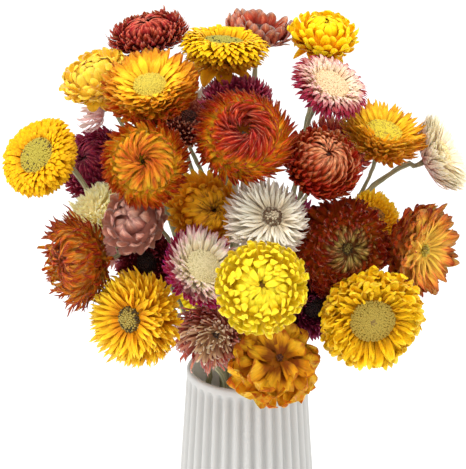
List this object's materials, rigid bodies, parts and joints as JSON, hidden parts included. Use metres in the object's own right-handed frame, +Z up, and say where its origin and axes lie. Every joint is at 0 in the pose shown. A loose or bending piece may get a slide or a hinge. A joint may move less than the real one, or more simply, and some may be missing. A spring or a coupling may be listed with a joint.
{
  "type": "dried strawflower bouquet in a vase",
  "caption": "Bouquet of dried strawflowers in warm colours on thin forked stems, standing in a slim fluted ceramic vase that widens towards its foot.",
  "frame": {"origin": "middle of the vase's flat underside", "axes": "+Z up along the vase's axis, -Y towards the bouquet's fuller front, +X to the right seen from the front"},
  "size_m": [0.2581, 0.1835, 0.3914],
  "materials": {
    "ceramic": "matte white glaze",
    "dry_stem": "dry, ridged, grey-green to tan",
    "bracts_red": "dry papery bracts, faintly satin",
    "bracts_yellow": "dry papery bracts, faintly satin",
    "bracts_copper": "dry papery bracts, faintly satin",
    "bracts_gold": "dry papery bracts, faintly satin",
    "bracts_wine": "dry papery bracts, faintly satin",
    "bracts_rust": "dry papery bracts, faintly satin",
    "bracts_magenta": "dry papery bracts, faintly satin",
    "bracts_amber": "dry papery bracts, faintly satin",
    "bracts_ivory": "dry papery bracts, faintly satin",
    "bracts_orange": "dry papery bracts, faintly satin",
    "bracts_cream": "dry papery bracts, faintly satin",
    "bracts_pink": "dry papery bracts, faintly satin",
    "bracts_lemon": "dry papery bracts, faintly satin",
    "bracts_brown": "dry papery bracts, faintly satin"
  },
  "bodies": {
    "root": {"vase": "ceramic", "stem_left_top": "dry_stem", "stem_left_front": "dry_stem", "stem_left": "dry_stem", "stem_top": "dry_stem", "stem_front_top": "dry_stem", "stem_back_top": "dry_stem", "stem_right_top": "dry_stem", "stem_right": "dry_stem", "stem_right_front": "dry_stem", "stem_right_low": "dry_stem", "stem_front": "dry_stem", "stem_left_low": "dry_stem", "stem_front_low": "dry_stem", "stem_back_left": "dry_stem", "stem_back_right": "dry_stem", "head_01_deep_red": "bracts_red", "head_02_yellow": "bracts_yellow", "head_03_copper": "bracts_copper", "head_04_bright_yellow": "bracts_yellow", "head_05_pale_gold": "bracts_yellow", "head_06_orange": "bracts_gold", "head_07_wine": "bracts_wine", "head_08_scarlet": "bracts_rust", "head_09_pink_cream": "bracts_magenta", "head_10_golden": "bracts_amber", "head_11_cream": "bracts_ivory", "head_12_rust": "bracts_rust", "head_13_bright_yellow": "bracts_yellow", "head_14_wine": "bracts_wine", "head_15_orange": "bracts_orange", "head_16_straw": "bracts_cream", "head_17_dusty_pink": "bracts_pink", "head_18_rust": "bracts_rust", "head_19_amber": "bracts_amber", "head_20_cream": "bracts_cream", "head_21_maroon": "bracts_rust", "head_22_orange": "bracts_orange", "head_23_dark_wine": "bracts_wine", "head_24_cream_crimson": "bracts_magenta", "head_25_lemon": "bracts_lemon", "head_26_gold": "bracts_gold", "head_27_curly_gold": "bracts_gold", "head_28_dark_wine": "bracts_wine", "head_29_brown": "bracts_brown", "head_30_amber": "bracts_amber", "head_31_pale_pink": "bracts_pink", "head_32_russet": "bracts_copper", "head_33_yellow": "bracts_yellow", "head_34_rust_back": "bracts_rust", "head_35_cream_back": "bracts_cream", "head_36_gold_back": "bracts_gold", "head_37_red_back": "bracts_red", "head_38_pink_back": "bracts_pink", "head_39_orange_back": "bracts_orange", "head_40_wine_back": "bracts_wine", "head_41_yellow_back": "bracts_yellow", "head_42_amber_back": "bracts_amber", "head_43_lemon_back": "bracts_lemon", "head_44_cream_back": "bracts_ivory"}
  },
  "joints": []
}
